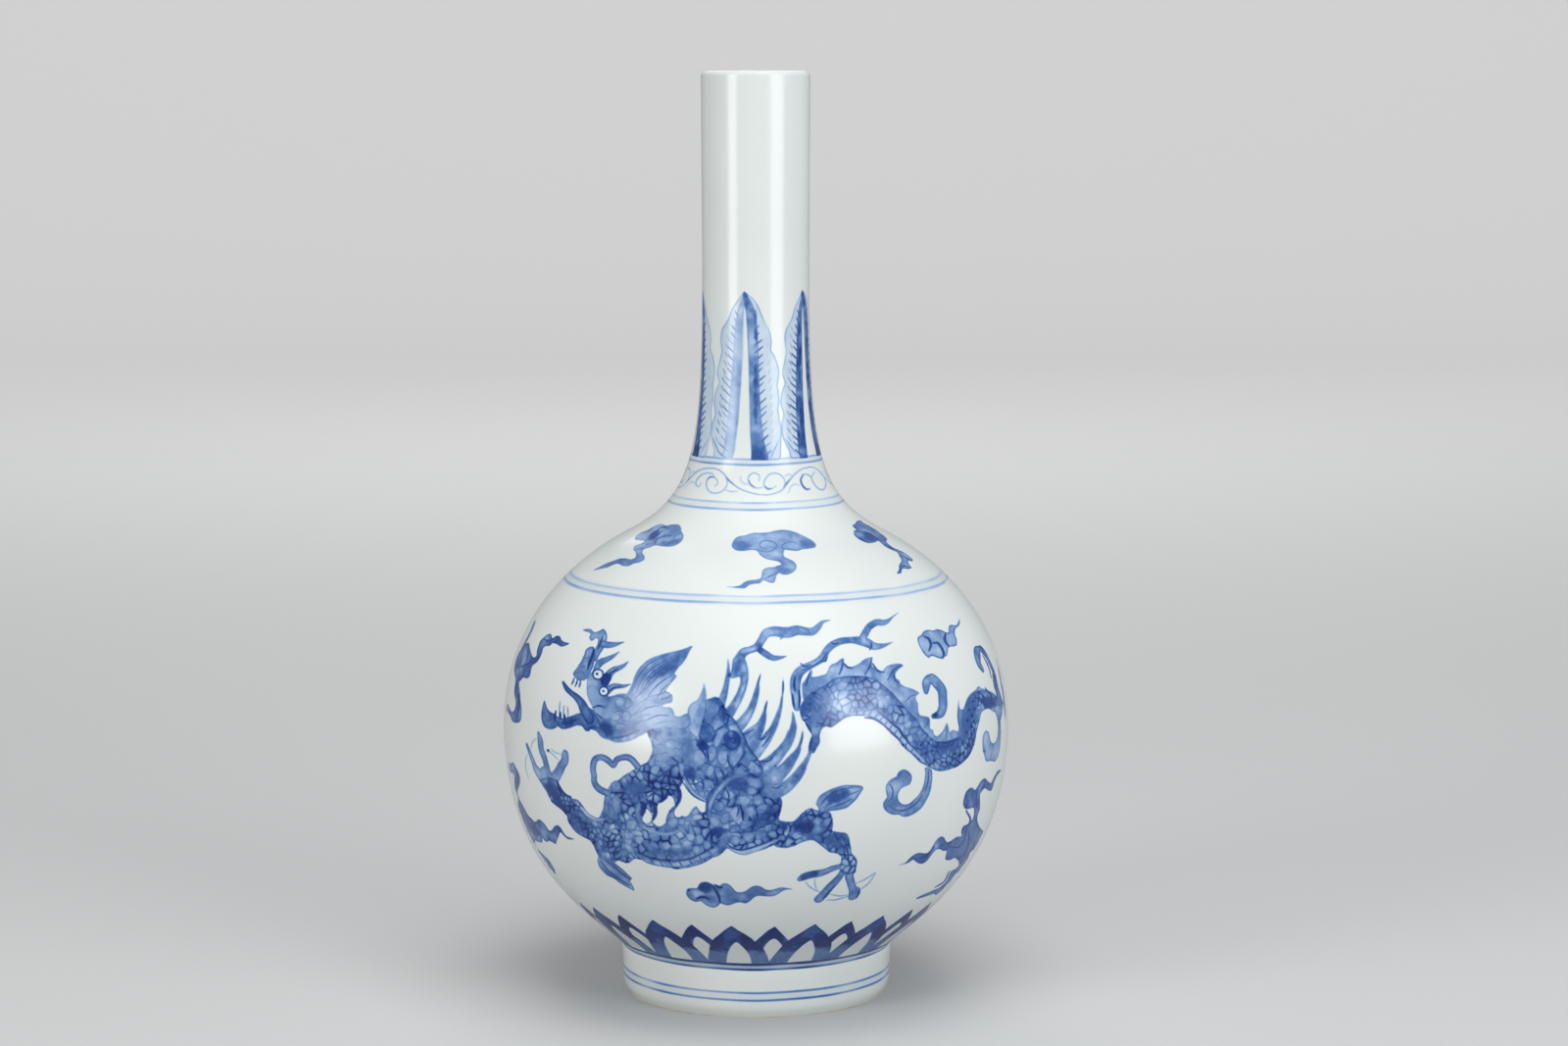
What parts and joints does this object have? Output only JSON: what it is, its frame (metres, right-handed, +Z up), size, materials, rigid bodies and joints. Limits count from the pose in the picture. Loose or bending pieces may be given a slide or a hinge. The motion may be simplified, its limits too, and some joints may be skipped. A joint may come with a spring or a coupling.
{
  "type": "bottle vase",
  "caption": "Porcelain bottle vase with a globular belly on a turned foot ring and a long straight neck, thrown in luted sections and painted in underglaze blue.",
  "frame": {"origin": "centre of the level rim of the foot ring, on the surface that the vase stands on", "axes": "+Z up along the axis of the vase; -Y is the painted front that the picture shows"},
  "size_m": [0.1816, 0.1816, 0.33],
  "materials": {
    "glazed_porcelain": "gloss",
    "luting_slip": "satin",
    "bare_porcelain": "matte",
    "underglaze_cobalt": "gloss"
  },
  "bodies": {
    "root": {"foot_ring": "glazed_porcelain", "foot_luting": "luting_slip", "lower_belly": "glazed_porcelain", "belly_luting": "luting_slip", "upper_belly": "glazed_porcelain", "neck_root_luting": "luting_slip", "lower_neck": "glazed_porcelain", "neck_luting": "luting_slip", "upper_neck": "glazed_porcelain"}
  },
  "joints": []
}
